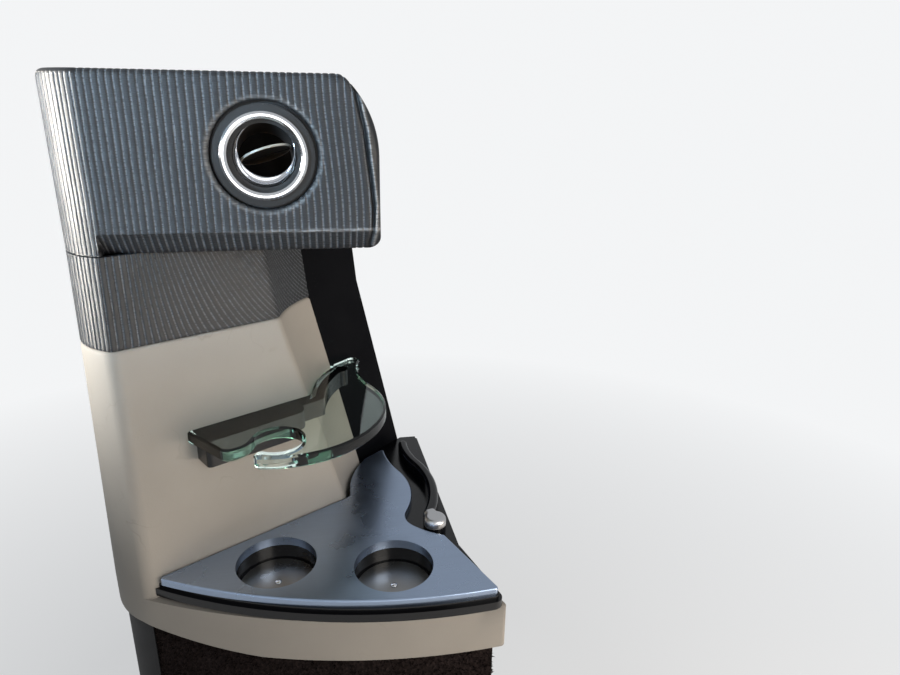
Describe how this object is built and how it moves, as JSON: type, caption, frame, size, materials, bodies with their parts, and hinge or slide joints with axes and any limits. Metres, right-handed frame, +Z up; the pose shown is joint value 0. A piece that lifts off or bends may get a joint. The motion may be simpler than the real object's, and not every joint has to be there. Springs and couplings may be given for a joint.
{
  "type": "limousine corner drinks console",
  "caption": "Corner drinks console for a limousine cabin: cup tray, glass stemware shelf and a leather-covered head with a swivelling air outlet.",
  "frame": {"origin": "on the floor, midway between the four floor bolts", "axes": "+X to the right along the front of the vent box, +Y back into the corner, +Z up"},
  "size_m": [0.3702, 0.3251, 0.853],
  "materials": {
    "ribbed_leather": "black, sewn in narrow ribs",
    "grey_leather": "smooth warm grey",
    "tray_metal": "fine brushed, cool tone",
    "black_gloss": "moulded, high gloss",
    "glass": "clear with green edge",
    "dark_steel": "dark polished",
    "carpet": "short dark pile",
    "board": "plain plywood",
    "trim_plastic": "fine grained",
    "chrome": "polished",
    "vent_plastic": "satin",
    "steel": "black paint"
  },
  "bodies": {
    "console": {"back_panel": "black_gloss", "cup_disc_left": "dark_steel", "cup_disc_right": "dark_steel", "deck_board": "board", "fascia": "grey_leather", "fixing_rail": "steel", "floor_board": "board", "glass_shelf": "glass", "head_box": "ribbed_leather", "kick_trim": "trim_plastic", "plinth": "carpet", "shelf_bracket": "black_gloss", "side_rail": "black_gloss", "tray_base": "black_gloss", "tray_plate": "tray_metal", "vent_ring": "chrome", "vent_socket": "vent_plastic", "wall_lower": "grey_leather", "wall_upper": "ribbed_leather"},
    "vent_swivel": {"vent_swivel": "vent_plastic"},
    "vent_barrel": {"vent_barrel": "chrome"},
    "vent_flap": {"vent_flap": "vent_plastic"}
  },
  "joints": [
    {"name": "outlet_spin", "type": "hinge", "parent": "console", "child": "vent_swivel", "pos_m": [-0.0103, -0.0425, 0.7927], "axis": [0, 1, 0], "continuous": true},
    {"name": "outlet_tilt", "type": "hinge", "parent": "vent_swivel", "child": "vent_barrel", "pos_m": [-0.0103, -0.0425, 0.7927], "axis": [0.9613, 0, -0.2756], "range_deg": [-10, 50]},
    {"name": "flap_turn", "type": "hinge", "parent": "vent_barrel", "child": "vent_flap", "pos_m": [-0.0103, -0.0425, 0.7927], "axis": [0.9494, 0.1843, 0.2545], "range_deg": [0, 90]}
  ]
}
